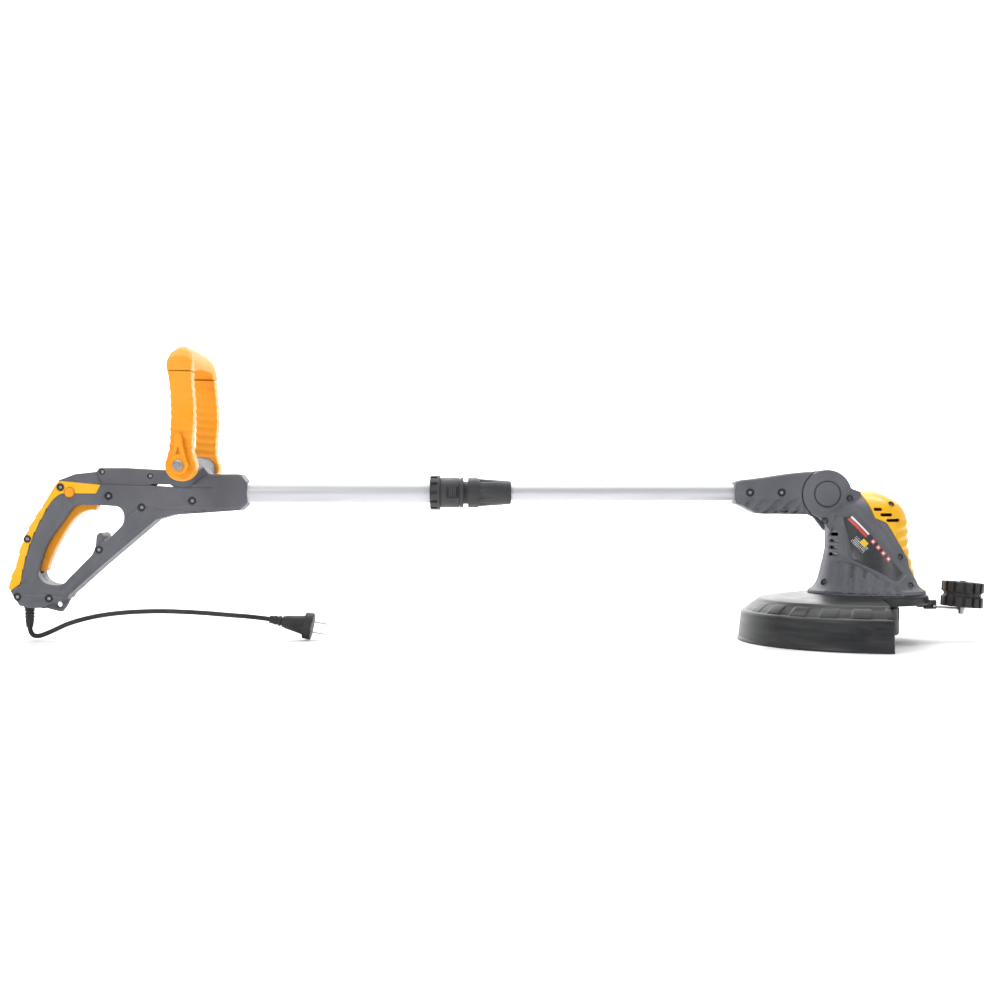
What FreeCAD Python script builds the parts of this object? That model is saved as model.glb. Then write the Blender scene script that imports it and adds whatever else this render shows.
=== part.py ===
"""Electric string trimmer with a telescoping shaft, a tilting head and an edging wheel.

Frame: millimetres, +Z up, +X along the shaft towards the cutting head. The guard's rim rests on Z = 0
and the shaft is level above it. Most sub-parts are PartDesign bodies drawn about their own datum point;
groups of identical loose solids, cords and coils are Part features that read the same sheet.
"""
import FreeCAD
import Part
import Sketcher
import math
import os
import re
from FreeCAD import Placement, Rotation, Vector

SIZES = {
    # shaft and telescope
    "shaft_z": 180, "upper_radius": 12.5, "tube_wall": 1.3, "lower_radius": 10,
    "upper_start": -352, "upper_end": -60, "lower_start": -135, "running_fit": 0.05,
    "ring_x": -82.5, "collar_x": -70, "nut_x": -36.5, "arm_x": 287,
    # D-handle, measured from the rear of the grip
    "grip_x": -592, "handle_half": 19, "boss_radius": 4.5, "screw_radius": 1.75,
    "screw_head_radius": 3.6, "screw_head": 2.4, "cord_x": 21, "cord_z": -141, "cord_radius": 2.9,
    "hang_hole_radius": 3.3,
    # auxiliary handle
    "aux_x": -370, "aux_z": 211, "aux_inner": 58, "aux_outer": 78, "aux_hub_radius": 18,
    "barrel_radius": 13.5, "aux_seam": 111,
    # tilt joint and motor head
    "pivot_x": 397, "pivot_z": 178, "ear_radius": 29.5, "ear_in": 12.2, "ear_out": 21.5,
    "tongue_radius": 26, "tongue_half": 11.5, "arm_half": 20, "button_radius": 15,
    "motor_x": 449, "shell_wall": 3, "shaft_radius": 4,
    # guard, spool and line
    "guard_radius": 155, "skirt_wall": 2.6, "plate_z": 46, "spool_radius": 39, "line_z": 20,
    "line_radius": 0.8, "cut_radius": 121, "line_turn": 8,
    # guide wheel
    "guide_x": 527, "guide_z": 43, "guide_tilt": 4.3, "wheel_radius": 25, "wheel_arm": 38,
    "wire_radius": 1.5,
}
SIDE, TOP, FRONT = "XZ_Plane", "XY_Plane", "YZ_Plane"
LEFT, RIGHT = "left", "right"

doc = FreeCAD.newDocument("string_trimmer")
sheet = doc.addObject("Spreadsheet::Sheet", "Sizes")
for row, (alias, amount) in enumerate(SIZES.items(), start=1):
    sheet.set("A%d" % row, alias)
    sheet.set("B%d" % row, str(amount))
    sheet.setAlias("B%d" % row, alias)
doc.recompute()


def bound(amount):
    """Expression text that names the sheet in front of each of its aliases."""
    return re.sub(r"[a-z_]{2,}", lambda word: "Sizes." + word.group(0) if word.group(0) in SIZES
                  else word.group(0), str(amount))


def mm(amount):
    """Number that a size or an expression of sizes has now."""
    return float(sheet.evalExpression(bound(amount))) if isinstance(amount, str) else float(amount)


# ---------------------------------------------------------------- PartDesign helpers

def new_body(label, x=0, y=0, z=0):
    """Empty body whose datum point is bound to the sheet."""
    body = doc.addObject("PartDesign::Body", label)
    body.Label = label
    for axis, amount in zip("xyz", (x, y, z)):
        body.setExpression("Placement.Base." + axis, bound(amount))
    return body


def origin_item(body, role):
    """Plane or axis of the body's own origin."""
    return [item for item in body.Origin.OriginFeatures if item.Role == role][0]


def pin_point(drawing, geometry, point, across, up):
    """Fix one sketch point at its two distances from the datum, bound where they are sizes."""
    for kind, axis, amount in (("DistanceX", -2, across), ("DistanceY", -1, up)):
        if mm(amount) == 0:
            drawing.addConstraint(Sketcher.Constraint("PointOnObject", geometry, point, axis))
            continue
        index = drawing.addConstraint(Sketcher.Constraint(kind, -1, 1, geometry, point, mm(amount)))
        if isinstance(amount, str):
            drawing.setExpression("Constraints[%d]" % index, bound(amount))


class Smooth(list):
    """Run of outline points that one smooth curve passes through."""

    def back(self):
        """The same run, end to start."""
        return Smooth(reversed(self))


def add_outline(drawing, outline):
    """Closed outline: straight lines between the points, and a smooth curve through each Smooth run."""
    first = drawing.GeometryCount
    runs = [item if isinstance(item, Smooth) else [item] for item in outline]
    geometry = []
    starts = []
    for run, following in zip(runs, runs[1:] + runs[:1]):
        points = [Vector(mm(across), mm(up), 0) for across, up in run]
        if len(points) > 1:
            curve = Part.BSplineCurve()
            curve.interpolate(points)
            geometry.append(curve)
            starts.append(run[0])
        target = Vector(mm(following[0][0]), mm(following[0][1]), 0)
        if not points[-1].isEqual(target, 0.001):
            geometry.append(Part.LineSegment(points[-1], target))
            starts.append(run[-1])
    drawing.addGeometry(geometry, False)
    count = len(geometry)
    for i, start in enumerate(starts):
        drawing.addConstraint(Sketcher.Constraint("Coincident", first + i, 2, first + (i + 1) % count, 1))
        pin_point(drawing, first + i, 1, *start)


def add_circle(drawing, across, up, radius):
    """Full circle bound to its centre and radius."""
    circle = Part.Circle(Vector(mm(across), mm(up), 0), Vector(0, 0, 1), mm(radius))
    geometry = drawing.addGeometry(circle, False)
    index = drawing.addConstraint(Sketcher.Constraint("Radius", geometry, mm(radius)))
    if isinstance(radius, str):
        drawing.setExpression("Constraints[%d]" % index, bound(radius))
    pin_point(drawing, geometry, 3, across, up)


def sketch(body, plane, outlines=(), circles=(), out=0):
    """Sketch on one of the body's planes, moved `out` along that plane's normal."""
    drawing = body.newObject("Sketcher::SketchObject", body.Label + "_sketch")
    drawing.AttachmentSupport = [(origin_item(body, plane), "")]
    drawing.MapMode = "FlatFace"
    drawing.setExpression("AttachmentOffset.Base.z", bound(out))
    for points in outlines:
        add_outline(drawing, points)
    for circle in circles:
        add_circle(drawing, *circle)
    return drawing


def pad(body, drawing, length, side=LEFT, both=False):
    """Pad along the sketch normal (LEFT), against it (RIGHT) or to both sides of the plane."""
    feature = body.newObject("PartDesign::Pad", body.Label + "_pad")
    feature.Profile = drawing
    feature.setExpression("Length", bound(length))
    feature.SideType = "Symmetric" if both else "One side"
    feature.Reversed = side == RIGHT
    drawing.Visibility = False
    return feature


def pocket(body, drawing, length, side=LEFT, both=False):
    """Pocket cut along the sketch normal (LEFT), against it (RIGHT) or to both sides."""
    feature = body.newObject("PartDesign::Pocket", body.Label + "_pocket")
    feature.Profile = drawing
    feature.setExpression("Length", bound(length))
    feature.SideType = "Symmetric" if both else "One side"
    feature.Reversed = side == LEFT
    drawing.Visibility = False
    return feature


def turn(body, drawing, axis, degrees=360, cut=False, midplane=False):
    """Revolve (or groove) a profile about one of the body's axes."""
    kind = "PartDesign::Groove" if cut else "PartDesign::Revolution"
    feature = body.newObject(kind, body.Label + "_turn")
    feature.Profile = drawing
    feature.ReferenceAxis = (origin_item(body, axis), [""])
    feature.Angle = degrees
    feature.Midplane = midplane
    drawing.Visibility = False
    return feature


def around(body, feature, axis, count):
    """Polar pattern of the last feature about one of the body's axes."""
    pattern = body.newObject("PartDesign::PolarPattern", body.Label + "_pattern")
    pattern.Originals = [feature]
    pattern.Axis = (origin_item(body, axis), [""])
    pattern.Angle = 360
    pattern.Occurrences = count
    body.Tip = pattern
    return pattern


def soften(body, radius, chosen):
    """Round the edges that `chosen` picks from the newest shape."""
    doc.recompute()
    base = body.Tip
    names = ["Edge%d" % (i + 1) for i, edge in enumerate(base.Shape.Edges) if chosen(edge)]
    fillet = body.newObject("PartDesign::Fillet", body.Label + "_round")
    fillet.Base = (base, names)
    fillet.setExpression("Radius", bound(radius))
    doc.recompute()
    return fillet


def rim_at(axis, level, keep=()):
    """Chooser of the straight edges that lie in one plane, apart from those with both ends in keep."""
    def chosen(edge):
        ends = [vertex.Point for vertex in edge.Vertexes]
        if len(ends) < 2 or any(abs(getattr(end, axis) - level) > 0.01 for end in ends):
            return False
        kept = [any(abs(end.x - mm(x)) < 0.1 and abs(end.z - mm(z)) < 0.1 for x, z in keep)
                for end in ends]
        return not all(kept)
    return chosen


def turned(label, place, axis, profile, holes=()):
    """Body of revolution about X, Y or Z from a profile in the plane that holds the axis."""
    body = new_body(label, *place)
    plane = {"X_Axis": SIDE, "Y_Axis": TOP, "Z_Axis": SIDE}[axis]
    turn(body, sketch(body, plane, [profile]), axis)
    for drawing_plane, circle, out, length, side in holes:
        pocket(body, sketch(body, drawing_plane, (), [circle], out), length, side)
    return body


def plate(label, place, outline, width, out=0, side=LEFT, both=True, holes=()):
    """Flat profile in the side plane, as wide as `width`, with round holes through it."""
    body = new_body(label, *place)
    pad(body, sketch(body, SIDE, [outline], holes, out), width, side, both)
    return body


def block(x_low, x_high, z_low, z_high):
    """Corners of a rectangle."""
    return [(x_low, z_low), (x_high, z_low), (x_high, z_high), (x_low, z_high)]


def group(label, shapes):
    """One node of several separate solids."""
    feature = doc.addObject("Part::Feature", label)
    feature.Label = label
    feature.Shape = Part.makeCompound(shapes)
    feature.Placement = Placement()
    return feature


def rod(start, end, radius):
    """Plain cylinder between two points."""
    line = end - start
    return Part.makeCylinder(radius, line.Length, start, line)


def screw(head, direction, length):
    """Cross-head screw: `head` is the middle of its top face."""
    radius, depth = mm("screw_head_radius"), mm("screw_head")
    seat = head + direction * depth
    solid = rod(head, seat, radius).fuse(rod(seat, seat + direction * length, mm("screw_radius")))
    for turned_by in (0, 90):
        slot = Part.makeBox(radius * 1.4, depth, radius * 0.3,
                            Vector(-radius * 0.7, -depth / 2, -radius * 0.15))
        slot.rotate(Vector(), Vector(0, 1, 0), turned_by)
        slot.Placement = Placement(head, Rotation(Vector(0, 1, 0), direction)).multiply(slot.Placement)
        solid = solid.cut(slot)
    return solid.removeSplitter()


# ---------------------------------------------------------------- D-handle

HANDLE = ("grip_x", 0, "shaft_z")
SPINE_LOW = (2.5, -119)
SPINE_CURVE = Smooth([(16, -111), (23, -77.5), (33, -49), (45, -25), (55, -9), (65, -1.5)])
SPINE_TOP = [(107, -1.5), (113, 9.5)]
SPINE_JOINT = [SPINE_LOW, SPINE_CURVE[0], SPINE_CURVE[-1]] + SPINE_TOP
TOP_JOINT = [(173.5, 8.5), (219, 5.5), (236, 19), (243, 22.5)]
UNDERSIDE = [(281, 22.5), (288, 15), (288, -16.5), (280, -21.5), (231, -25), (199, -27), (178.5, -33),
             (112, -89.5), (73.5, -124), (66, -139.5), (61, -145), (53, -143.5), (39, -139.5),
             (28.5, -140), (13.5, -137), (5, -124)]
HAND_OPENING = [Smooth([(73.5, -25), (78.5, -18.5), (86, -15)]), (106, -15),
                Smooth([(130, -16.5), (138, -21), (140.5, -30), (137, -41)]), (117, -60.5),
                Smooth([(115, -55), (114.5, -50), (112, -48), (109, -49.5), (107, -54)]), (106, -66),
                (102, -75), Smooth([(72, -105.5), (65, -111), (56, -111.5), (45, -109), (38.5, -103), (37, -95)]),
                Smooth([(43, -73.5), (49.5, -59), (57.5, -47)])]
OPENING_ENDS = [(73.5, -25), (86, -15), (106, -15), (130, -16.5), (137, -41), (117, -60.5), (115, -55),
                (107, -54), (106, -66), (102, -75), (72, -105.5), (37, -95), (43, -73.5), (57.5, -47)]
TRIGGER_SLOT = [(108, -9), (102.5, -5.5), (81.5, -5.5), (66.5, -12), (48, -32.5), (32.5, -58.5),
                (26.5, -76.5), (27, -88), (33, -97), (42, -99), (60, -80), (90, -32), (108, -20)]
GRIP_CAVITY = [(66, -5.5), (82, -5.5), (80, -11.5), (70, -21), (54, -45), (40.5, -71), (34, -90),
               (28, -90), (26.5, -76.5), (32.5, -58.5), (48, -32.5), (58, -17)]
FRONT_CAVITY = [(115, 5), (170, 4.5), (216, 1.5), (240, 1.5), (240, -18.5), (194, -22), (173, -26),
                (144, -23), (132, -12.5), (115, -10.5)]
FOOT_CAVITY = [(10, -118.5), (21, -114), (38, -113), (64.5, -116.5), (64.5, -128), (45, -134),
               (16, -133)]
LEAD_CHANNEL = [(62, -115), (109, -73), (148, -35), (155, -27), (168, -22), (176, -25), (170, -30),
                (158, -39), (115, -81.5), (62, -129)]
EYELET_RELIEF = [(44, -136.5), (72, -128), (82, -128), (82, -150), (44, -150)]
EYELET_HALF = 4
SHELL_SCREWS = [(122, -4), (162, -18), (223, -10), (110.5, -69), (12, -126), (50, -128)]
SPINE_SCREWS = [(64, 6.5), (24, -56)]
TRIGGER_PIVOT = (99, -14)


def round_hole(position, radius):
    """Circle entry for a sketch from a position and a radius."""
    return position[0], position[1], radius


def handle_shell(side):
    """One half of the moulded D-handle: hand opening, cavities, bosses and the tube socket."""
    body = new_body("handle_shell_" + side, *HANDLE)
    outline = [SPINE_LOW, SPINE_CURVE] + SPINE_TOP + TOP_JOINT + UNDERSIDE
    pad(body, sketch(body, SIDE, [outline, HAND_OPENING]), "handle_half", side)
    level = mm("handle_half") * (-1 if side == LEFT else 1)
    joints = SPINE_JOINT + TOP_JOINT
    soften(body, 5, rim_at("y", level, joints + OPENING_ENDS))
    soften(body, 1.5, lambda edge: rim_at("y", level)(edge) and not rim_at("y", level, OPENING_ENDS)(edge))
    pocket(body, sketch(body, SIDE, [FRONT_CAVITY]), "handle_half - 3", side)
    pocket(body, sketch(body, SIDE, [GRIP_CAVITY]), "handle_half - 5", side)
    pocket(body, sketch(body, SIDE, [FOOT_CAVITY]), "handle_half - 3", side)
    pocket(body, sketch(body, SIDE, [LEAD_CHANNEL]), 4.5, side)
    bosses = [round_hole(position, "boss_radius") for position in SHELL_SCREWS]
    pad(body, sketch(body, SIDE, (), bosses), "handle_half - 3", side)
    pocket(body, sketch(body, SIDE, [TRIGGER_SLOT]), 7.6, side)
    pocket(body, sketch(body, FRONT, (), [(0, 0, "upper_radius")], 239.5), 60, LEFT)
    pocket(body, sketch(body, TOP, (), [("cord_x", 0, 7)], -145), 30, LEFT)
    pins = [round_hole(position, "screw_radius") for position in SHELL_SCREWS]
    pins.append(round_hole(TRIGGER_PIVOT, 2))
    pocket(body, sketch(body, SIDE, (), pins), 14, side)
    relief = sketch(body, SIDE, [EYELET_RELIEF], out=EYELET_HALF if side == LEFT else -EYELET_HALF)
    pocket(body, relief, "handle_half", side)
    hang_hole = [(58, -136, "hang_hole_radius")]
    pocket(body, sketch(body, SIDE, (), hang_hole), "handle_half + 1", side)
    if side == LEFT:
        pocket(body, sketch(body, SIDE, (), pins[:-1]), "handle_half + 1", side)
        heads = [round_hole(position, "screw_head_radius") for position in SHELL_SCREWS]
        pocket(body, sketch(body, SIDE, (), heads, "handle_half - 3.4"), 5, side)
        pocket(body, sketch(body, SIDE, (), [(75, 0, 6.3)], 0), "handle_half + 1", side)
    return body


def grip_cover():
    """Coloured spine that wraps the rear of the grip."""
    rear = Smooth([(0, -116), (1, -110), (2.5, -104), (5.5, -96), (10.5, -82), (12.5, -72), (17, -59),
                   (22, -47), (27, -38), (36, -23), (45, -10), (54, 5), (61, 14.5)])
    body = new_body("grip_cover", *HANDLE)
    outline = SPINE_TOP[::-1] + [SPINE_CURVE.back(), SPINE_LOW, rear]
    pad(body, sketch(body, SIDE, [outline]), "2 * handle_half", both=True)
    for level in (-mm("handle_half"), mm("handle_half")):
        soften(body, 5, rim_at("y", level, SPINE_JOINT + [(61, 14.5)]))
    holes = [round_hole(position, "screw_radius") for position in SPINE_SCREWS]
    pocket(body, sketch(body, SIDE, (), holes, -14), "handle_half + 16", LEFT)
    heads = [round_hole(position, "screw_head_radius") for position in SPINE_SCREWS]
    pocket(body, sketch(body, SIDE, (), heads, "handle_half - 3.4"), 5, LEFT)
    pocket(body, sketch(body, SIDE, (), [(75, 0, 6.3)], 2), "handle_half + 1", LEFT)
    return body


def handle_bracket():
    """Bracket and rear cap on top of the handle, with the wide barrel that carries the loop handle."""
    body = new_body("handle_bracket", *HANDLE)
    outline = [(104, 22.5), (110, 30), (144, 30), (189, 27.5), (208, 31), (236, 31), (243, 22.5)]
    under = [(236, 19), (219, 5.5), (200, 6.9), (196, 9.6), (174, 10.4), (172, 8.6), (113, 9.5)]
    pad(body, sketch(body, SIDE, [outline + under]), "2 * handle_half - 4", both=True)
    for level in (-mm("handle_half") + 2, mm("handle_half") - 2):
        soften(body, 3, lambda edge, y=level: rim_at("y", y)(edge) and edge.CenterOfMass.z > 24)
    rear_cap = [(61, 14.5), (82, 22.5), (106, 25), (113, 9.5)]
    pad(body, sketch(body, SIDE, [rear_cap]), "2 * handle_half - 1", both=True)
    barrel = ("aux_x - grip_x", "aux_z - shaft_z", "barrel_radius")
    pad(body, sketch(body, SIDE, (), [barrel]), "2 * aux_inner - 1", both=True)
    bore = ("aux_x - grip_x", "aux_z - shaft_z", 4)
    pocket(body, sketch(body, SIDE, (), [bore]), "2 * aux_outer", both=True)
    holes = [(114, 25, "screw_radius"), (172, 20, "screw_radius")]
    pocket(body, sketch(body, SIDE, (), holes), "handle_half", LEFT)
    heads = [(x, z, "screw_head_radius") for x, z, radius in holes]
    pocket(body, sketch(body, SIDE, (), heads, "handle_half - 5.4"), 5, LEFT)
    return body


def side_screws(datum, positions, face, length):
    """Screws driven in from the left, their heads level with `face` to the left of the middle."""
    shapes = []
    for x, z in positions:
        head = Vector(mm(datum[0]) + x, -mm(face), mm(datum[2]) + z)
        shapes.append(screw(head, Vector(0, 1, 0), length))
    return shapes


def trigger():
    """Long trigger along the inside of the grip, hung at its front end."""
    outer = [(105.5, -16), Smooth([(102.5, -21.5), (92, -22), (81, -28), (65, -48.5), (51, -75), (45, -90)]),
             Smooth([(45, -90), (43, -95), (39, -96), (35, -92)])]
    ends = [(105.5, -16), (35, -92)]
    inner = [(33, -83), (38, -65), (51, -39), (68, -17), (82, -10), (101, -8.5), (105.5, -11)]
    body = new_body("trigger", *HANDLE)
    pad(body, sketch(body, SIDE, [outer + inner]), 14, both=True)
    for level in (-7, 7):
        soften(body, 1.2, lambda edge, y=level: rim_at("y", y)(edge)
               and rim_at("y", y, inner + ends)(edge))
    bore = [(TRIGGER_PIVOT[0], TRIGGER_PIVOT[1], "2 + running_fit")]
    pocket(body, sketch(body, SIDE, (), bore), 20, both=True)
    return body


def lock_button():
    """Oval lock-off button in the left side of the grip."""
    body = turned("lock_button", ("grip_x + 75", 0, "shaft_z"), "Y_Axis",
                  [(0, -21.5), (4.5, -21.5), (6, -19.5), (6, -9.2), (0, -9.2)])
    return body


def micro_switch():
    """Switch that the trigger works, with its row of tabs."""
    body = plate("micro_switch", HANDLE, block(128, 150, -12, 1), 12)
    pad(body, sketch(body, SIDE, [block(133, 135, 1, 4), block(143, 145, 1, 4)]), 5, both=True)
    return body


def internal_lead():
    """Lead from the foot of the grip through the strut to the front cavity."""
    path = [Vector(mm("grip_x") + x, 0, mm("shaft_z") + z) for x, z in
            ((21, -126), (45, -121.6), (70, -119), (112, -79), (148, -42), (160, -28.5), (172, -22), (200, -15))]
    group("internal_lead", [tube_path(path, 2)])


# ---------------------------------------------------------------- cords and springs

def tube_path(points, radius, trim=0.45):
    """Plain tube along straight runs joined by tangent arcs."""
    edges = []
    start = points[0]
    radii = []
    for before, corner, after in zip(points, points[1:], points[2:]):
        into = (corner - before)
        away = (after - corner)
        cut_back = trim * min(into.Length, away.Length)
        half = into.getAngle(away) / 2
        into.normalize()
        away.normalize()
        bend = cut_back / math.tan(half)
        radii.append(bend)
        arc_start = corner - into * cut_back
        arc_end = corner + away * cut_back
        inward = (away - into).normalize()
        middle = corner + inward * (bend / math.cos(half) - bend)
        edges.append(Part.LineSegment(start, arc_start).toShape())
        edges.append(Part.Arc(arc_start, middle, arc_end).toShape())
        start = arc_end
    edges.append(Part.LineSegment(start, points[-1]).toShape())
    wire = Part.Wire(edges)
    first = (points[1] - points[0]).normalize()
    section = Part.Wire(Part.Circle(points[0], first, radius).toShape())
    tube = wire.makePipeShell([section], True, True)
    ideal = math.pi * radius * radius * wire.Length
    print("tube length %.0f mm, tightest bend %.1f mm, volume against ideal %.4f"
          % (wire.Length, min(radii), tube.Volume / ideal))
    return tube


def coil(start, axis, radius, wire, pitch, turns):
    """Helical spring or coiled lead along an axis."""
    height = pitch * turns
    helix = Part.makeHelix(pitch, height, radius)
    section = Part.Wire(Part.Circle(Vector(radius, 0, 0), Vector(0, 1, 0), wire).toShape())
    solid = Part.Wire(helix.Edges).makePipeShell([section], True, True)
    solid.Placement = Placement(start, Rotation(Vector(0, 0, 1), axis))
    return solid


CORD_ROUTE = [(21, -164), (22, -172), (30, -176), (46, -170), (72, -157.5), (116, -147.5), (172, -144),
              (226, -146), (266, -149.5), (291, -151.2), (313.6, -154.2)]
PLUG_TILT = 10


def tilt_body(body, degrees):
    """Turn a body nose-down about its datum point."""
    body.Placement = Placement(body.Placement.Base, Rotation(Vector(0, 1, 0), degrees))


def cord_and_plug():
    """Short mains cord from the grip's foot to its moulded plug."""
    body = turned("cord_boot", ("grip_x + cord_x", 0, "shaft_z + cord_z"), "Z_Axis",
                  [(0, -23), (4, -23), (5.8, -9), (5.8, 1), (7, 1), (7, 6), (5.8, 8), (0, 8)])
    turn(body, sketch(body, SIDE, [block(0, "cord_radius", -24, 9)]), "Z_Axis", cut=True)
    rings = [block(4.9, 8, level, level + 1.6) for level in (-5, -9, -13)]
    turn(body, sketch(body, SIDE, rings), "Z_Axis", cut=True)
    points = [Vector(mm("grip_x") + x, 0, mm("shaft_z") + z) for x, z in CORD_ROUTE]
    group("power_cord", [tube_path(points, mm("cord_radius"))])
    end = CORD_ROUTE[-1]
    place = ("grip_x + %s" % end[0], 0, "shaft_z + %s" % end[1])
    plug = turned("plug_body", place, "X_Axis",
                  [(0, 0), (0, 4.6), (18, 7), (20, 8), (38, 11), (42, 12), (43, 16), (52, 16.5), (53, 15.5),
                   (53, 0)])
    grooves = [block(level, level + 2, 5, 9) for level in (4, 9, 14)]
    turn(plug, sketch(plug, SIDE, grooves), "X_Axis", cut=True)
    tilt_body(plug, PLUG_TILT)
    doc.recompute()
    blades = []
    for level in (-6.35, 6.35):
        blade = Part.makeBox(18, 6.3, 1.6, Vector(53, -3.15, level - 0.8))
        blade = blade.makeFillet(0.7, [edge for edge in blade.Edges if edge.CenterOfMass.x > 70])
        blade.Placement = plug.Placement
        blades.append(blade)
    group("plug_blades", blades)


# ---------------------------------------------------------------- loop handle

AUX = ("aux_x", 0, "aux_z")
LOOP_SIDE = [Smooth([(-17, 4), (-13.5, 22), (-12, 50), (-12, 75), (-15, 105), (-18, 128), (-16, 138), (-8, 142.5),
                     (2, 142), (10, 137), (12.5, 126), (13, 105), (15.5, 75), (15.5, 50), (14, 22), (17, 4)])]
LOOP_WINDOW = [(-58, -30), (58, -30), (58, 100), (53, 113), (42, 120), (-42, 120), (-53, 113), (-58, 100)]


def loop_blank(label):
    """Whole loop: side outline with its window and its slanted outer corners cut away."""
    body = new_body(label, *AUX)
    pad(body, sketch(body, SIDE, [LOOP_SIDE]), "2 * aux_outer", both=True)
    pocket(body, sketch(body, FRONT, [LOOP_WINDOW]), 80, both=True)
    for sign in (-1, 1):
        corner = [(sign * y, z) for y, z in ((79, 104), (76.5, 116), (70, 129), (60, 138), (46, 143.5), (79, 144))]
        pocket(body, sketch(body, FRONT, [corner]), 80, both=True)
    return body


def loop_arm(side):
    """Lower part of one arm, with its round pivot end."""
    body = loop_blank("aux_arm_" + side)
    sign = 1 if side == LEFT else -1
    pocket(body, sketch(body, SIDE, [block(-40, 40, "aux_seam", 160)]), 200, both=True)
    start = "aux_inner" if side == LEFT else "-aux_inner"
    pad(body, sketch(body, SIDE, (), [(0, 0, "aux_hub_radius")], start), "aux_outer - aux_inner", side)
    other = RIGHT if side == LEFT else LEFT
    pocket(body, sketch(body, SIDE, [block(-60, 60, -40, 160)]), 100, other)
    pocket(body, sketch(body, SIDE, (), [(0, 0, "4 + running_fit")]), 200, both=True)
    ridges = [block(-40, 40, level, level + 2) for level in (60, 70, 80, 90, 100)]
    pocket(body, sketch(body, SIDE, ridges, out=sign * 77.2), 5, side)
    return body


def loop_crossbar():
    """Top of the loop with shallow grooves across it."""
    body = loop_blank("aux_crossbar")
    pocket(body, sketch(body, SIDE, [block(-40, 40, -40, "aux_seam")]), 200, both=True)
    ribs = [block(y - 1, y + 1, 141.2, 145) for y in range(-40, 41, 10)]
    pocket(body, sketch(body, FRONT, ribs), 60, both=True)
    return body


def loop_fittings():
    """Clamp lever, pivot bolt and nut of the loop handle."""
    lever = new_body("aux_lever", *AUX)
    teardrop = [Smooth([(-9.8, 3), (-7, 15), (-5, 27), (-4, 35), (-1, 38), (2, 36), (4, 27), (6.5, 15), (9.8, 3)])]
    pad(lever, sketch(lever, SIDE, [teardrop], out="aux_outer + 0.6"), 8)
    pad(lever, sketch(lever, SIDE, (), [(0, 0, 10.5)], "aux_outer + 0.6"), 10)
    soften(lever, 1.5, rim_at("y", -mm("aux_outer") - 8.6))
    pocket(lever, sketch(lever, SIDE, [[(-3.5, 13), (-0.5, 22), (3, 13)]], out="aux_outer + 6"), 4)
    pocket(lever, sketch(lever, SIDE, (), [(0, 0, "4 + running_fit")]), 200, both=True)
    turned("aux_bolt", AUX, "Y_Axis",
           [(0, -92), (5, -92), (6, -91), (6, -89.2), (4, -89.2), (4, 84), (0, 84)])
    nut = new_body("aux_nut", *AUX)
    hexagon = [(9 * math.cos(math.radians(60 * i)), 9 * math.sin(math.radians(60 * i))) for i in range(6)]
    pad(nut, sketch(nut, SIDE, [hexagon], [(0, 0, 4)], "-aux_outer - 0.6"), 5.4, RIGHT)


# ---------------------------------------------------------------- telescopic shaft

def tubes():
    """Upper and lower tube and the guide bush on the lower tube's hidden end."""
    turned("upper_tube", ("upper_start", 0, "shaft_z"), "X_Axis",
           [(0, "upper_radius - tube_wall"), ("upper_end - upper_start", "upper_radius - tube_wall"),
            ("upper_end - upper_start", "upper_radius"), (0, "upper_radius")])
    tube_length = "arm_x + 35 - lower_start"
    tube = turned("lower_tube", ("lower_start", 0, "shaft_z"), "X_Axis",
                  [(0, "lower_radius - tube_wall"), (tube_length, "lower_radius - tube_wall"),
                   (tube_length, "lower_radius"), (0, "lower_radius")])
    cross_hole = [("arm_x + 17 - lower_start", 0, "screw_radius")]
    pocket(tube, sketch(tube, SIDE, (), cross_hole), 40, both=True)
    bush_top = "upper_radius - tube_wall - running_fit"
    turned("tube_bush", ("lower_start", 0, "shaft_z"), "X_Axis",
           [(0, "lower_radius"), (16, "lower_radius"), (16, bush_top), (0, bush_top)])


def rotation_collar():
    """Notched index ring, turning collar, its catch, the collet and the clamp nut."""
    ring = turned("index_ring", ("ring_x", 0, "shaft_z"), "X_Axis",
                  [(0, "upper_radius"), (12, "upper_radius"), (12, 21.2), (1, 21.2), (0, 20.2)])
    notch = pocket(ring, sketch(ring, FRONT, [block(-2, 2, 18.5, 23)]), 9)
    around(ring, notch, "X_Axis", 12)
    collar = turned("collar", ("collar_x", 0, "shaft_z"), "X_Axis",
                    [(0, "upper_radius + running_fit"), (10.5, "upper_radius + running_fit"),
                     (10.5, "lower_radius + running_fit"), (62, "lower_radius + running_fit"), (62, 13.9),
                     (28, 13.9), (28, 18.4), (24, 18.4), (24, 17.4), (22.6, 17.4), (22.6, 18.4), (0, 18.4)])
    pocket(collar, sketch(collar, SIDE, [block(8, 22.4, -6.5, 10.5)], out=16.5), 10)
    catch = plate("twist_catch", ("collar_x", 0, "shaft_z"), block(11.5, 19.4, -5, 9), 3.3, 16.8, both=False)
    grooves = [block(x, x + 0.9, -6, 10) for x in (12.8, 15, 17.2)]
    pocket(catch, sketch(catch, SIDE, grooves, out=19.4), 3)
    collet = turned("collet", ("collar_x + 62.4", 0, "shaft_z"), "X_Axis",
                    [(0, "lower_radius + running_fit"), (16, "lower_radius + running_fit"), (16, 11.5),
                     (0, 13.2)])
    slit = pocket(collet, sketch(collet, FRONT, [block(-0.6, 0.6, 9, 14)], out=3), 14)
    around(collet, slit, "X_Axis", 4)
    nut = turned("clamp_nut", ("nut_x", 0, "shaft_z"), "X_Axis",
                 [(0, 14.3), (30, 14.3), (30, 13.9), (46.8, 12.1), (46.8, 10.5), (52.5, 10.5), (52.5, 13.2),
                  (50.5, 14.3), (14.5, 17.2), (12, 17.2), (12, 18.3), (0, 18.3)])
    flute = pocket(nut, sketch(nut, FRONT, (), [(0, 20.6, 5)], 14.5), 33)
    around(nut, flute, "X_Axis", 10)


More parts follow.
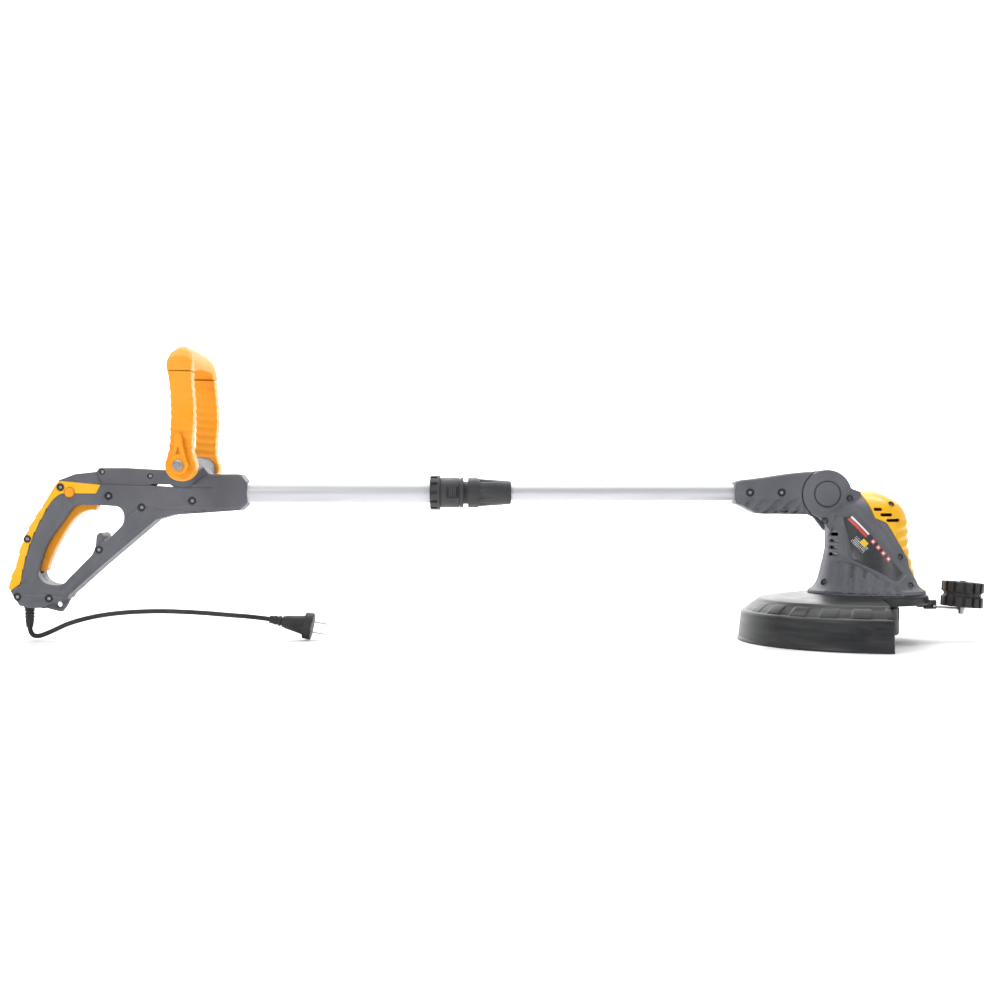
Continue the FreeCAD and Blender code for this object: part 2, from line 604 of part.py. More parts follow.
ARM = ("arm_x", 0, "shaft_z")
ARM_OUTLINE = [(0, 15.5), Smooth([(5, 15.5), (30, 18), (60, 22.5), (94, 25.5)]), (92, -26.5),
               Smooth([(54, -26), (38, -26), (23, -24), (14, -19), (5, -15.5)]), (0, -15.5)]


def arm_shell(side):
    """One half of the arm that clamps the lower tube and ends in the tilt joint's tongue."""
    body = new_body("arm_shell_" + side, *ARM)
    pivot = ("pivot_x - arm_x", "pivot_z - shaft_z")
    pad(body, sketch(body, SIDE, [ARM_OUTLINE]), "arm_half", side)
    level = mm("arm_half") * (-1 if side == LEFT else 1)
    soften(body, 5, lambda edge: rim_at("y", level)(edge) and 3 < edge.CenterOfMass.x < 90)
    out = "tongue_half" if side == LEFT else "-tongue_half"
    pocket(body, sketch(body, SIDE, (), [pivot + ("ear_radius + 0.8",)], out), 20, side)
    pad(body, sketch(body, SIDE, (), [pivot + ("tongue_radius",)]), "tongue_half", side)
    pocket(body, sketch(body, FRONT, (), [(0, 0, "lower_radius")], -1), 36)
    pocket(body, sketch(body, FRONT, (), [(0, 0, 4)], 30), 54)
    holes = [(17, 0, "screw_radius"), (55, 0, "screw_radius")]
    pocket(body, sketch(body, SIDE, (), holes), 14, side)
    if side == LEFT:
        pocket(body, sketch(body, SIDE, (), holes), 30, side)
        heads = [(x, z, "screw_head_radius") for x, z, radius in holes]
        pocket(body, sketch(body, SIDE, (), heads, "arm_half - 2.8"), 5, side)
        pocket(body, sketch(body, SIDE, (), [pivot + (9,)], 5), 8, side)
    else:
        pocket(body, sketch(body, SIDE, (), [pivot + ("5 + running_fit",)]), 20, side)
    lower_flutes = [[(x, -28), (x + 4, -28), (x + 9, -21), (x + 6.5, -21)] for x in (30, 42, 54, 66)]
    pocket(body, sketch(body, SIDE, lower_flutes, out=17 if side == LEFT else -17), 5, side)
    return body


def tilt_lock():
    """Round tilt button with its spring, and the pin that the head turns on."""
    place = ("pivot_x", 0, "pivot_z")
    turned("tilt_button", place, "Y_Axis",
           [(0, -23.5), (13.5, -23.5), ("button_radius", -22), ("button_radius", -16), (8.5, -16), (8.5, -12.6),
            (0, -12.6)])
    group("tilt_spring", [coil(Vector(mm("pivot_x"), -11.95, mm("pivot_z")), Vector(0, 1, 0), 6, 0.6, 2, 3)])
    turned("pivot_pin", place, "Y_Axis", [(0, 1), (5, 1), (5, 19), (0, 19)])


# ---------------------------------------------------------------- motor head

HEAD = ("motor_x", 0, 0)
PIVOT = ("pivot_x - motor_x", "pivot_z")
SKIN = Smooth([(70, 62), (63, 67), (57.5, 79), (54, 94), (50.5, 109), (49.5, 124), (49, 140), (46.5, 153),
               (40, 164.5), (29, 173), (15, 179.5), (0, 182)])
COVER_REGION = [(-14, 186), (-12, 180), (-2, 149.5), (12, 143.5), (37.5, 106), (42, 100), (42, 91), (56, 70),
                (63, 62), (72, 57), (95, 57), (95, 186)]
NECK = [(-26, 186), (-12, 181), (-12, 172), (-34, 160), (-44, 150), (-47, 134), (-49, 134), (-62, 151),
        (-70, 165)]
GUARD_SCREW_ANGLES = (90, 210, 330)
GUARD_SCREW_RING = 64


def guard_screw_points():
    """Centres of the guard's screws round the motor axis."""
    return [(GUARD_SCREW_RING * math.cos(math.radians(angle)), GUARD_SCREW_RING * math.sin(math.radians(angle)))
            for angle in GUARD_SCREW_ANGLES]


def head_blank(body):
    """Round motor shell with its cavity."""
    turn(body, sketch(body, SIDE, [[(0, 58), (70, 58), SKIN]]), "Z_Axis")
    lining = Smooth([(radius - 3, z - 1.5) for radius, z in SKIN[2:-1]] + [(0, 178.5)])
    turn(body, sketch(body, SIDE, [[(0, 61.5), (56, 61.5), lining]]), "Z_Axis", cut=True)


def motor_housing(side):
    """One half of the motor housing, with its tilt ear."""
    body = new_body("motor_housing_" + side, *HEAD)
    head_blank(body)
    pocket(body, sketch(body, SIDE, [COVER_REGION]), 200, both=True)
    other = RIGHT if side == LEFT else LEFT
    pocket(body, sketch(body, SIDE, [block(-90, 90, 50, 190)]), 100, other)
    pocket(body, sketch(body, TOP, (), [(0, 0, 9)], 57), 5)
    sign = "" if side == LEFT else "-"
    pad(body, sketch(body, SIDE, [NECK], out=sign + "ear_in"), "ear_out - ear_in", side)
    pad(body, sketch(body, SIDE, (), [PIVOT + ("ear_radius",)], sign + "ear_in"), "ear_out - ear_in", side)
    pocket(body, sketch(body, SIDE, (), [PIVOT + ("tongue_radius + 2",)]), "ear_in", side)
    if side == LEFT:
        ring = [PIVOT + (20.7,), PIVOT + (17.5,)]
        pad(body, sketch(body, SIDE, (), ring, "ear_out"), 1, side)
        pocket(body, sketch(body, SIDE, (), [PIVOT + ("button_radius + 0.4",)]), 40, side)
    else:
        pocket(body, sketch(body, SIDE, (), [PIVOT + (5,)]), 19, side)
    vents = [block(-48.5, -40, z, z + 3.6) for z in (104, 112, 120, 128)]
    pocket(body, sketch(body, SIDE, vents, out=12 if side == LEFT else -12), 30, side)
    studs = [(x, y, "screw_radius") for x, y in guard_screw_points()]
    pocket(body, sketch(body, TOP, (), studs, 57), 4)
    return body


def rear_cover():
    """Coloured rear cover of the head with its air slots."""
    body = new_body("rear_cover", *HEAD)
    head_blank(body)
    rest = [(-95, 186)] + COVER_REGION[:10] + [(-95, 57)]
    pocket(body, sketch(body, SIDE, [rest]), 200, both=True)
    slots = [block(-2, 8, 158, 161.5), block(5, 20, 151.5, 155), block(12, 30, 145, 148.5)]
    for side, out in ((LEFT, 14), (RIGHT, -14)):
        pocket(body, sketch(body, SIDE, slots, out=out), 50, side)
    return body


def label_plate():
    """Blank rating plate that follows the housing's left side."""
    body = new_body("label_plate", *HEAD)
    curved = [SKIN, Smooth([(radius + 0.9, z) for radius, z in SKIN]).back()]
    turn(body, sketch(body, SIDE, [curved]), "Z_Axis")
    label = [(-36, 150), (-26, 152), (30, 84), (20, 76), (-27, 101)]
    pocket(body, sketch(body, SIDE, [block(-95, 95, 50, 190), label]), 200, both=True)
    pocket(body, sketch(body, SIDE, [block(-90, 90, 50, 190)]), 100, RIGHT)
    return body


def motor():
    """Field core, brushes and bearings in the head; armature, commutator and fan on the shaft."""
    field = turned("motor_field", HEAD, "Z_Axis", block(27, 45.5, 84, 124))
    pocket(field, sketch(field, TOP, [block(-60, -36, -60, 60), block(36, 60, -60, 60)], out=83), 26)
    turned("bearing_bottom", HEAD, "Z_Axis", block("shaft_radius + running_fit", 9, 58, 65))
    bore = "shaft_radius + running_fit"
    bridge = turned("bearing_bridge", HEAD, "Z_Axis",
                    [(bore, 145), (9, 145), (9, 147), (44, 147), (44, 150), (9, 150), (9, 152), (bore, 152)])
    cut = pocket(bridge, sketch(bridge, TOP, [block(-50, -12, 14, 60), block(12, 50, 14, 60)], out=146), 5)
    around(bridge, cut, "Z_Axis", 2)
    brushes = []
    for sign in (-1, 1):
        brushes.append(Part.makeBox(8, 20, 9, Vector(mm("motor_x") - 4, 11.4 if sign > 0 else -31.4, 131.5)))
    group("brush_holders", brushes)
    shaft = turned("rotor_shaft", HEAD, "Z_Axis",
                   [(0, 24.5), ("shaft_radius", 24.5), ("shaft_radius", 130), (11, 130), (11, 142),
                    ("shaft_radius", 142), ("shaft_radius", 154), (0, 154)])
    groove = pocket(shaft, sketch(shaft, TOP, [block(10, 12, -0.3, 0.3)], out=129), 14)
    around(shaft, groove, "Z_Axis", 16)
    armature = turned("armature", HEAD, "Z_Axis", block("shaft_radius", 26, 84, 124))
    slot = pocket(armature, sketch(armature, TOP, [block(21, 28, -1.5, 1.5)], out=83), 42)
    around(armature, slot, "Z_Axis", 12)
    fan = turned("fan", HEAD, "Z_Axis", [("shaft_radius", 68), (42, 68), (42, 70), (10, 70), (10, 79),
                                         ("shaft_radius", 79)])
    blade = pad(fan, sketch(fan, TOP, [block(9, 40, -1, 1)], out=69), 9)
    around(fan, blade, "Z_Axis", 9)


def guard():
    """Open guard: mounting plate, half-round skirt, cutter seat and the guide's two lugs."""
    body = new_body("guard", *HEAD)
    turn(body, sketch(body, SIDE, [[(30, "plate_z"), (73, "plate_z"), (73, 55), (70, 58), (30, 58)]]), "Z_Axis")
    outside = [(-71, 58), Smooth([(-76, 58.5), (-104, 54), (-134, 46.5), (-146, 41), (-151, 33)]), (-153.8, 5),
               (-153.8, 3), ("-guard_radius", 2.5), ("-guard_radius", 0)]
    inside = [("-guard_radius + skirt_wall", 0), Smooth([(-148.4, 33), (-144, 38.5), (-132, 43.8), (-104, 50.5),
                                                         (-71, 54.5)])]
    skirt = turn(body, sketch(body, SIDE, [outside + inside]), "Z_Axis", 174, midplane=True)
    pad(body, sketch(body, SIDE, [block(-38, -14, 12, 27)], out=143), 7.5)
    for out in (10, -14):
        pad(body, sketch(body, SIDE, [block(66, "guide_x - motor_x + 4", 39, 50)], out=out), 4, RIGHT
            if out < 0 else LEFT)
    pocket(body, sketch(body, SIDE, (), [("guide_x - motor_x", "guide_z", "wire_radius + running_fit")]),
           40, both=True)
    studs = [(x, y, "screw_radius") for x, y in guard_screw_points()]
    pocket(body, sketch(body, TOP, (), studs, 45), 14)
    sinks = [(x, y, "screw_head_radius") for x, y in guard_screw_points()]
    pocket(body, sketch(body, TOP, (), sinks, 45), 1 + mm("screw_head"))
    heads = [Vector(mm("motor_x") + x, y, mm("plate_z")) for x, y in guard_screw_points()]
    group("guard_screws", [screw(head, Vector(0, 0, 1), 12) for head in heads])
    plate("line_cutter", HEAD, [(-40, 8), (-12, 8), (-12, 26), (-20, 29), (-36, 29)], 1.2, 141.8, both=False)
    return skirt


def spool():
    """Everything that spins below the guard, and the sprung bump button."""
    housing = turned("spool_housing", HEAD, "Z_Axis",
                     [("shaft_radius", 44), (35, 44), ("spool_radius", 40), ("spool_radius", 10), (37, 8),
                      (21, 8), (21, 10.4), (36.4, 10.4), (36.4, 39.5), (12, 39.5), (12, 24.5),
                      ("shaft_radius", 24.5)])
    pocket(housing, sketch(housing, FRONT, (), [(0, "line_z", 3.2)]), 90, both=True)
    flute = pocket(housing, sketch(housing, TOP, (), [(42.5, 0, 5)], 26), 20)
    around(housing, flute, "Z_Axis", 10)
    spin = 90 - mm("line_turn")
    housing.Placement = Placement(housing.Placement.Base, Rotation(Vector(0, 0, 1), spin))
    turned("spool_reel", HEAD, "Z_Axis",
           [(12, 16.4), (34, 16.4), (34, 18), (17, 18), (17, 33), (34, 33), (34, 35), (12, 35)])
    turned("wound_line", HEAD, "Z_Axis", block(17, 29, 18, 33))
    eyelets = []
    tips = []
    for angle in (spin, spin + 180):
        way = Vector(math.cos(math.radians(angle)), math.sin(math.radians(angle)), 0)
        middle = Vector(mm("motor_x"), 0, mm("line_z"))
        sleeve = rod(middle + way * 35, middle + way * 41.5, 3.2).cut(rod(middle + way * 34, middle + way * 43, 1.5))
        eyelets.append(sleeve)
        tips.append(rod(middle + way * 30, middle + way * mm("cut_radius"), mm("line_radius")))
    group("line_eyelets", eyelets)
    group("line_tips", tips)
    turned("bump_button", HEAD, "Z_Axis",
           [(0, 2), (15, 2), (20.5, 5.5), (20.5, 10.8), (24, 10.8), (24, 12.8), (10.5, 12.8), (10.5, 11), (0, 11)])
    group("bump_spring", [coil(Vector(mm("motor_x"), 0, 12), Vector(0, 0, 1), 6.5, 0.8, 3.6, 3)])


def side_guide():
    """Edging wheel on its wire, hinged in front of the guard's plate."""
    place = ("guide_x", 0, "guide_z")
    wire = new_body("wire_guide", *place)
    pad(wire, sketch(wire, SIDE, (), [(0, 0, "wire_radius")]), 34, both=True)
    pad(wire, sketch(wire, FRONT, (), [(0, -1.7, "wire_radius")]), "wheel_arm - 3")
    pad(wire, sketch(wire, TOP, (), [("wheel_arm", 0, 4.5), ("wheel_arm", 0, "2 + running_fit")], -4), 4.6)
    tilt_body(wire, mm("guide_tilt"))
    hub = ("guide_x + wheel_arm * cos(guide_tilt)", 0, "guide_z - wheel_arm * sin(guide_tilt)")
    half = [("2 + running_fit", 1), (9, 1), (9, 2.5), (20, 2.5), (21, 1), (24.5, 1), ("wheel_radius", 2),
            ("wheel_radius", 12.5), (23, 13.5), (22, 15.2)]
    mirrored = [(radius, 32 - z) for radius, z in reversed(half)]
    wheel = turned("guide_wheel", hub, "Z_Axis", half + mirrored)
    gap = pocket(wheel, sketch(wheel, TOP, [block(21.5, 27, -2, 2)]), 40)
    around(wheel, gap, "Z_Axis", 14)
    tilt_body(wheel, mm("guide_tilt"))
    axle = turned("wheel_axle", hub, "Z_Axis",
                  [(0, -8), (3, -8), (3.5, -7), (3.5, -4.3), (2, -4.3), (2, 31.4), (4, 31.4), (4, 33), (0, 33)])
    tilt_body(axle, mm("guide_tilt"))


# ---------------------------------------------------------------- build and write

def build_all():
    """Make every sub-part."""
    for side in (LEFT, RIGHT):
        handle_shell(side)
        loop_arm(side)
        arm_shell(side)
        motor_housing(side)
    grip_cover()
    handle_bracket()
    group("handle_screws", side_screws(HANDLE, SHELL_SCREWS + SPINE_SCREWS, "handle_half - 0.9", 26)
          + side_screws(HANDLE, [(114, 25), (172, 20)], "handle_half - 2.9", 13.6))
    group("arm_screws", side_screws(ARM, [(17, 0), (55, 0)], "arm_half - 0.3", 28))
    trigger()
    turned("trigger_pin", ("grip_x + %d" % TRIGGER_PIVOT[0], 0, "shaft_z + %d" % TRIGGER_PIVOT[1]), "Y_Axis",
           [(0, -13), (2, -13), (2, 13), (0, 13)])
    spring_foot = Vector(mm("grip_x") + 37, 0, mm("shaft_z") - 66)
    group("trigger_spring", [coil(spring_foot, Vector(-0.9, 0, 0.44), 3, 0.4, 1.6, 3)])
    lock_button()
    micro_switch()
    internal_lead()
    cord_and_plug()
    loop_crossbar()
    loop_fittings()
    tubes()
    rotation_collar()
    coil_start = Vector(mm("upper_start") + 10, 0, mm("shaft_z"))
    group("coiled_lead", [coil(coil_start, Vector(1, 0, 0), 5.5, 1.5, 14, 28)])
    tilt_lock()
    rear_cover()
    label_plate()
    motor()
    guard()
    spool()
    side_guide()


def write_parts():
    """Check each sub-part and write it to its own STEP file."""
    doc.recompute()
    os.makedirs("parts", exist_ok=True)
    for old in os.listdir("parts"):
        os.remove(os.path.join("parts", old))
    labels = []
    faults = []
    for item in doc.Objects:
        if "Invalid" in item.State or "Error" in item.State:
            faults.append("%s is %s" % (item.Label, item.State))
        loose = item.TypeId == "Part::Feature"
        if item.TypeId == "PartDesign::Body" or loose:
            shape = item.Shape
            if shape.isNull() or not shape.isValid():
                faults.append(item.Label + " has a bad shape")
                continue
            if not loose and len(shape.Solids) != 1:
                faults.append("%s has %d solids" % (item.Label, len(shape.Solids)))
            shape.exportStep(os.path.join("parts", item.Label + ".step"))
            labels.append(item.Label)
    print("%d sub-parts written" % len(labels))
    if faults:
        raise SystemExit("\n".join(faults))


build_all()
write_parts()
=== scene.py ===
"""Looks of the corded string trimmer: camera, cord, finishes, moulded details, floor and light."""

import math

import bmesh
import bpy
import numpy as np
from mathutils import Matrix, Vector


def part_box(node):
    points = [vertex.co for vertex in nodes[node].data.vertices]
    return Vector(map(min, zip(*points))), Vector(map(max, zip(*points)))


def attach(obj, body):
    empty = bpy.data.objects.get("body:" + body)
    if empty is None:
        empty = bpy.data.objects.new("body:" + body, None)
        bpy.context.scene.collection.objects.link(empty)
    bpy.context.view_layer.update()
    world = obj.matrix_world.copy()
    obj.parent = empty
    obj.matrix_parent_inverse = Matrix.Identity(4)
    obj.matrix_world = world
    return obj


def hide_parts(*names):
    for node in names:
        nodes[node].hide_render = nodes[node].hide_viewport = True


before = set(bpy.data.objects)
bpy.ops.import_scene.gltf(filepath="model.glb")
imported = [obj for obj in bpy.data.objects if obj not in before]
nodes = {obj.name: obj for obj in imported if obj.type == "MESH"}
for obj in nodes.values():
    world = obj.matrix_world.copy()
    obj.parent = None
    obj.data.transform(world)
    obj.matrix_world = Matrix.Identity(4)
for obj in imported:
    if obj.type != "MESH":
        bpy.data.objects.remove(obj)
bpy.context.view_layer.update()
scene = bpy.context.scene
scene.view_settings.view_transform = "Standard"
MM = 0.001


def middle_of(node, axis):
    """Middle of a CAD node's box along one axis."""
    low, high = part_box(node)
    return (low[axis] + high[axis]) / 2


SHAFT = middle_of("upper_tube", 2)
MOTOR = middle_of("rotor_shaft", 0)


# ---------------------------------------------------------------- camera

def add_camera():
    """Level side view of the whole trimmer."""
    data = bpy.data.cameras.new("camera")
    data.lens = 50
    data.sensor_width = 36
    camera = bpy.data.objects.new("camera", data)
    camera.location = (0.0024, -1.694, 0.171)
    camera.rotation_euler = (math.radians(90), 0, 0)
    scene.collection.objects.link(camera)
    scene.camera = camera


add_camera()


# ---------------------------------------------------------------- cord

CORD_RADIUS = 0.0029
CORD_ROUTE = [(-0.571, 0, 0.016), (-0.570, 0, 0.008), (-0.562, 0, 0.004), (-0.546, 0, 0.010),
              (-0.520, 0, 0.0225), (-0.476, 0, 0.0325), (-0.420, 0, 0.036), (-0.366, 0, 0.034),
              (-0.326, 0, 0.0305), (-0.301, 0, 0.0288), (-0.2784, 0, 0.0258)]


def add_cord():
    """Stiff lead that arches from its boot to the plug on one smooth curve."""
    curve = bpy.data.curves.new("mains_lead", "CURVE")
    curve.dimensions = "3D"
    curve.bevel_depth = 1
    curve.bevel_resolution = 8
    curve.resolution_u = 24
    curve.use_fill_caps = True
    spline = curve.splines.new("NURBS")
    spline.points.add(len(CORD_ROUTE) - 1)
    for point, place in zip(spline.points, CORD_ROUTE):
        point.co = (*place, 1)
        point.radius = CORD_RADIUS
    spline.order_u = 3
    spline.use_endpoint_u = True
    cord = bpy.data.objects.new("mains_lead", curve)
    scene.collection.objects.link(cord)
    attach(cord, "handle")
    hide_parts("power_cord")
    return cord


lead = add_cord()


# ---------------------------------------------------------------- node helpers

class Finish:
    """Node material under construction, in the object's own coordinates."""

    def __init__(self, name):
        self.material = bpy.data.materials.new(name)
        self.material.use_nodes = True
        self.tree = self.material.node_tree
        self.shader = self.tree.nodes["Principled BSDF"]
        self.place = self.add("ShaderNodeTexCoord").outputs["Object"]

    def add(self, kind, **settings):
        """New node with its settings; inputs are set or linked by name."""
        node = self.tree.nodes.new(kind)
        for key, value in settings.items():
            setattr(node, key, value)
        return node

    def link(self, output, target):
        """Join an output to an input."""
        self.tree.links.new(output, target)

    def stretched(self, scale, turn=(0, 0, 0)):
        """Coordinates scaled and turned, for drawn or brushed marks."""
        mapping = self.add("ShaderNodeMapping")
        mapping.inputs["Scale"].default_value = scale
        mapping.inputs["Rotation"].default_value = turn
        self.link(self.place, mapping.inputs["Vector"])
        return mapping.outputs["Vector"]

    def noise(self, scale, detail=3, place=None):
        """Value noise, where scale is features per metre."""
        node = self.add("ShaderNodeTexNoise")
        node.inputs["Scale"].default_value = scale
        node.inputs["Detail"].default_value = detail
        self.link(place or self.place, node.inputs["Vector"])
        return node.outputs["Fac"]

    def spread(self, value, low, high, start=0.3, end=0.7):
        """Value carried from the span start..end to low..high."""
        node = self.add("ShaderNodeMapRange")
        node.inputs["From Min"].default_value = start
        node.inputs["From Max"].default_value = end
        node.inputs["To Min"].default_value = low
        node.inputs["To Max"].default_value = high
        self.link(value, node.inputs["Value"])
        return node.outputs["Result"]

    def mix(self, factor, first, second):
        """Blend of two colours, each an output or a constant."""
        node = self.add("ShaderNodeMix", data_type="RGBA")
        self.link(factor, node.inputs["Factor"])
        for slot, colour in (("A", first), ("B", second)):
            target = [item for item in node.inputs if item.name == slot and item.type == "RGBA"][0]
            if isinstance(colour, tuple):
                target.default_value = (*colour, 1)
            else:
                self.link(colour, target)
        return [item for item in node.outputs if item.type == "RGBA"][0]

    def maths(self, operation, first, second=None):
        """One arithmetic step."""
        node = self.add("ShaderNodeMath", operation=operation)
        for index, value in enumerate((first, second)):
            if value is None:
                continue
            if isinstance(value, (int, float)):
                node.inputs[index].default_value = value
            else:
                self.link(value, node.inputs[index])
        return node.outputs["Value"]

    def worn_edges(self, width):
        """Zero on the flats, rising to one along the convex edges."""
        rounded = self.add("ShaderNodeBevel", samples=4)
        rounded.inputs["Radius"].default_value = width
        true_normal = self.add("ShaderNodeNewGeometry").outputs["Normal"]
        product = self.add("ShaderNodeVectorMath", operation="DOT_PRODUCT")
        self.link(rounded.outputs["Normal"], product.inputs[0])
        self.link(true_normal, product.inputs[1])
        return self.spread(product.outputs["Value"], 1, 0, 0.72, 0.98)

    def relief(self, height, depth, strength=1.0, edge=None):
        """Bump of the given depth in metres, over softly rounded edges."""
        bump = self.add("ShaderNodeBump")
        bump.inputs["Distance"].default_value = depth
        bump.inputs["Strength"].default_value = strength
        self.link(height, bump.inputs["Height"])
        if edge:
            rounded = self.add("ShaderNodeBevel", samples=4)
            rounded.inputs["Radius"].default_value = edge
            self.link(rounded.outputs["Normal"], bump.inputs["Normal"])
        self.link(bump.outputs["Normal"], self.shader.inputs["Normal"])

    def set(self, **values):
        """Constants on the shader's own sockets."""
        for key, value in values.items():
            socket = self.shader.inputs[key.replace("_", " ")]
            socket.default_value = (*value, 1) if isinstance(value, tuple) else value


def lighter(colour, amount):
    """Colour moved towards white, or towards black for a negative amount."""
    if amount < 0:
        return tuple(part * (1 + amount) for part in colour)
    return tuple(part + (1 - part) * amount for part in colour)


# ---------------------------------------------------------------- finishes

ORANGE = (0.93, 0.35, 0.004)
YELLOW = (0.88, 0.47, 0.003)
GREY = (0.108, 0.112, 0.130)
LABEL_SLOPE = 49
LABEL_START = 160
LABEL_TOP = 418


def moulded(name, colour, roughness, grain=1600, depth=0.00005, wear=0.12, coat=0.0):
    """Moulded plastic: cloudy tone, fine spark grain, slightly paler rubbed edges."""
    finish = Finish(name)
    cloud = finish.spread(finish.noise(22, 4), 0, 1)
    tone = finish.mix(cloud, lighter(colour, -0.07), lighter(colour, 0.025))
    speck = finish.spread(finish.noise(420, 2), 0, 0.18, 0.55, 0.75)
    tone = finish.mix(speck, tone, lighter(colour, -0.16))
    rubbed = finish.maths("MULTIPLY", finish.worn_edges(0.0009), finish.spread(finish.noise(60), 0.25, 1))
    tone = finish.mix(rubbed, tone, lighter(colour, wear))
    finish.link(tone, finish.shader.inputs["Base Color"])
    finish.link(finish.spread(finish.noise(130, 4), roughness - 0.07, roughness + 0.08),
                finish.shader.inputs["Roughness"])
    finish.set(Coat_Weight=coat, Coat_Roughness=0.12, Specular_IOR_Level=0.3)
    finish.relief(finish.noise(grain, 2), depth, 0.6, edge=0.0007)
    return finish.material


def drawn_alloy(name):
    """Satin anodised tube: faint lines along its length and a soft cloud across them."""
    finish = Finish(name)
    lines = finish.noise(1, 3, finish.stretched((6, 2600, 2600)))
    cloud = finish.noise(1, 3, finish.stretched((9, 60, 60)))
    tone = finish.mix(finish.spread(lines, 0, 1), (0.56, 0.57, 0.60), (0.66, 0.67, 0.70))
    tone = finish.mix(finish.spread(cloud, 0, 0.5), tone, (0.50, 0.51, 0.54))
    finish.link(tone, finish.shader.inputs["Base Color"])
    finish.link(finish.spread(lines, 0.34, 0.46), finish.shader.inputs["Roughness"])
    finish.set(Metallic=0.45)
    finish.relief(lines, 0.000012, 0.5)
    return finish.material


def machined(name, colour, roughness):
    """Turned or pressed metal: fine scratches, small stains and brighter edges."""
    finish = Finish(name)
    scratch = finish.noise(1, 2, finish.stretched((300, 2400, 700), (0.3, 0.2, 0.6)))
    stain = finish.spread(finish.noise(180, 4), 0, 0.4, 0.5, 0.8)
    tone = finish.mix(finish.spread(scratch, 0, 1), lighter(colour, -0.12), lighter(colour, 0.08))
    tone = finish.mix(stain, tone, lighter(colour, -0.35))
    tone = finish.mix(finish.worn_edges(0.0004), tone, lighter(colour, 0.3))
    finish.link(tone, finish.shader.inputs["Base Color"])
    finish.link(finish.spread(scratch, roughness - 0.08, roughness + 0.1), finish.shader.inputs["Roughness"])
    finish.set(Metallic=1.0)
    finish.relief(scratch, 0.00002, 0.5, edge=0.0002)
    return finish.material


def guard_skin(name):
    """Satin dark guard with faint flow marks and light handling scuffs."""
    finish = Finish(name)
    colour = (0.017, 0.018, 0.020)
    flow = finish.noise(1, 3, finish.stretched((14, 14, 120)))
    streaks = finish.noise(1, 2, finish.stretched((60, 900, 60), (0.4, 0, 0.5)))
    scuff = finish.spread(streaks, 0, 0.5, 0.62, 0.8)
    tone = finish.mix(finish.spread(flow, 0, 1), lighter(colour, -0.2), lighter(colour, 0.02))
    tone = finish.mix(scuff, tone, (0.040, 0.041, 0.045))
    tone = finish.mix(finish.worn_edges(0.001), tone, (0.06, 0.062, 0.068))
    finish.link(tone, finish.shader.inputs["Base Color"])
    finish.link(finish.spread(flow, 0.30, 0.44), finish.shader.inputs["Roughness"])
    finish.set(Specular_IOR_Level=0.28)
    finish.relief(finish.noise(900, 2), 0.00003, 0.5, edge=0.0008)
    return finish.material


def line_skin(name):
    """Slightly milky nylon line."""
    finish = Finish(name)
    tone = finish.mix(finish.spread(finish.noise(300), 0, 1), (0.62, 0.24, 0.03), (0.78, 0.36, 0.07))
    finish.link(tone, finish.shader.inputs["Base Color"])
    finish.link(finish.spread(finish.noise(700), 0.25, 0.4), finish.shader.inputs["Roughness"])
    finish.set(Subsurface_Weight=0.15)
    return finish.material


def label_skin(name):
    """Dark rating plate with plain bars, fine rules and small marks, and no lettering."""
    finish = Finish(name)
    turned_to_plate = finish.stretched((1, 1, 1), (math.radians(-90), 0, math.radians(LABEL_SLOPE)))
    plate = finish.add("ShaderNodeSeparateXYZ")
    finish.link(turned_to_plate, plate.inputs["Vector"])
    along, across = plate.outputs["X"], plate.outputs["Y"]

    def within(value, low, high):
        """One between two distances in millimetres."""
        off_middle = finish.maths("ABSOLUTE", finish.maths("SUBTRACT", value, (low + high) / 2 * MM))
        return finish.maths("LESS_THAN", off_middle, (high - low) / 2 * MM)

    def patch(start, end, top, foot):
        """One inside a block of the plate, in millimetres from its start and down from its top."""
        return finish.maths("MULTIPLY", within(along, LABEL_START + start, LABEL_START + end),
                            within(across, LABEL_TOP - foot, LABEL_TOP - top))

    tone = finish.mix(finish.spread(finish.noise(300), 0, 1), (0.024, 0.025, 0.028), (0.038, 0.039, 0.043))
    rule_pitch = 1.9 * MM
    rule_share = 0.45
    stripe = finish.maths("FRACT", finish.maths("DIVIDE", across, rule_pitch))
    rules = finish.maths("MULTIPLY", patch(23, 42, 12, 22), finish.maths("LESS_THAN", stripe, rule_share))
    ragged = finish.maths("GREATER_THAN", finish.noise(1, 1, finish.stretched((500, 60, 500))), 0.4)
    tone = finish.mix(finish.maths("MULTIPLY", rules, ragged), tone, (0.52, 0.52, 0.53))
    pale_bar = (2, 30, 0, 2.2, (0.75, 0.75, 0.74))
    red_bar = (2, 30, 3.2, 6.2, (0.62, 0.05, 0.04))
    yellow_block = (30, 38, 8.5, 15, (0.75, 0.52, 0.03))
    mark_starts = (37, 46, 55, 64)
    marks = [(start, start + 5, 0.5, 5.5, (0.66, 0.10, 0.09)) for start in mark_starts]
    mark_middles = [(start + 1.3, start + 3.7, 1.8, 4.2, (0.72, 0.72, 0.71)) for start in mark_starts]
    for start, end, top, foot, colour in [pale_bar, red_bar, yellow_block] + marks + mark_middles:
        tone = finish.mix(patch(start, end, top, foot), tone, colour)
    finish.link(tone, finish.shader.inputs["Base Color"])
    finish.link(finish.spread(finish.noise(200), 0.30, 0.46), finish.shader.inputs["Roughness"])
    finish.relief(finish.noise(1500, 2), 0.00002, 0.4)
    return finish.material


